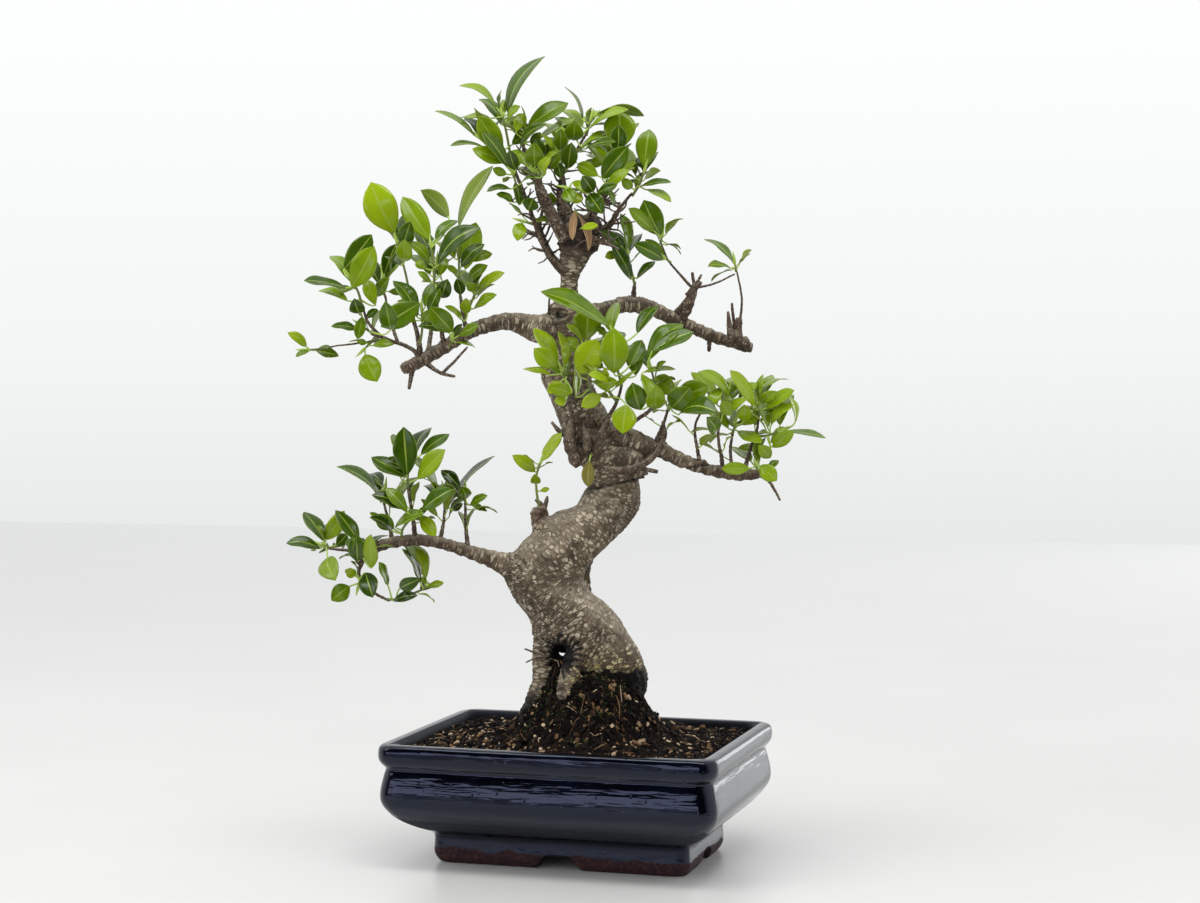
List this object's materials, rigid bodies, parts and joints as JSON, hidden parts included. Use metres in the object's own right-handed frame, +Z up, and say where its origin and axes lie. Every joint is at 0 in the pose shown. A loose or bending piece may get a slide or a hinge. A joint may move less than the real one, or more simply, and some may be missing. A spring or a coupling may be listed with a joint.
{
  "type": "banyan bonsai in a pot",
  "caption": "Small banyan fig with a curved trunk, bare roots and leafy branch pads, planted in a low rectangular glazed pot.",
  "frame": {"origin": "middle of the part's footprint, on the surface that the pot stands on", "axes": "+Z up along the tree, +X to the right along the pot's long side, +Y away from the pot's front"},
  "size_m": [0.3976, 0.2074, 0.62],
  "materials": {
    "glazed_clay": "dark navy glaze, glossy, with bare red-brown clay at the feet",
    "soil": "dark crumbly potting soil with bark chips and grit",
    "bark": "grey-brown bark with pale flecks, greenish near the soil",
    "leaf": "glossy green leaf with a pale midrib",
    "young_leaf": "glossy yellow-green young leaf",
    "olive_leaf": "fading olive-yellow leaf",
    "dead_leaf": "dry tan leaf, matt",
    "mesh_plastic": "black plastic drain mesh"
  },
  "bodies": {
    "root": {"tree": "bark", "lower_left_01": "leaf", "lower_left_02": "leaf", "lower_left_03": "leaf", "lower_left_04": "leaf", "lower_left_05": "leaf", "lower_left_06": "leaf", "lower_left_07": "leaf", "lower_left_08": "leaf", "lower_left_09": "leaf", "upper_left_01": "leaf", "upper_left_02": "leaf", "upper_left_03": "leaf", "upper_left_04": "leaf", "upper_left_05": "leaf", "upper_left_06": "leaf", "upper_left_07": "leaf", "upper_left_08": "leaf", "upper_left_09": "leaf", "upper_left_10": "leaf", "upper_left_11": "leaf", "upper_left_12": "leaf", "crown_01": "leaf", "crown_02": "leaf", "crown_03": "leaf", "crown_04": "leaf", "crown_05": "leaf", "crown_06": "leaf", "crown_07": "leaf", "crown_08": "leaf", "crown_09": "leaf", "crown_10": "leaf", "crown_11": "leaf", "crown_12": "leaf", "crown_13": "leaf", "crown_14": "leaf", "crown_15": "leaf", "upper_right_01": "leaf", "upper_right_02": "leaf", "upper_right_03": "leaf", "upper_right_04": "leaf", "middle_01": "young_leaf", "middle_02": "young_leaf", "middle_03": "leaf", "middle_04": "young_leaf", "middle_05": "leaf", "middle_06": "leaf", "middle_07": "leaf", "right_01": "leaf", "right_02": "leaf", "right_03": "leaf", "right_04": "leaf", "right_05": "leaf", "trunk_sprout": "young_leaf", "trunk_leaf": "olive_leaf", "dead_leaf": "dead_leaf", "pot": "glazed_clay", "drain_mesh_left": "mesh_plastic", "drain_mesh_right": "mesh_plastic", "soil": "soil"}
  },
  "joints": []
}
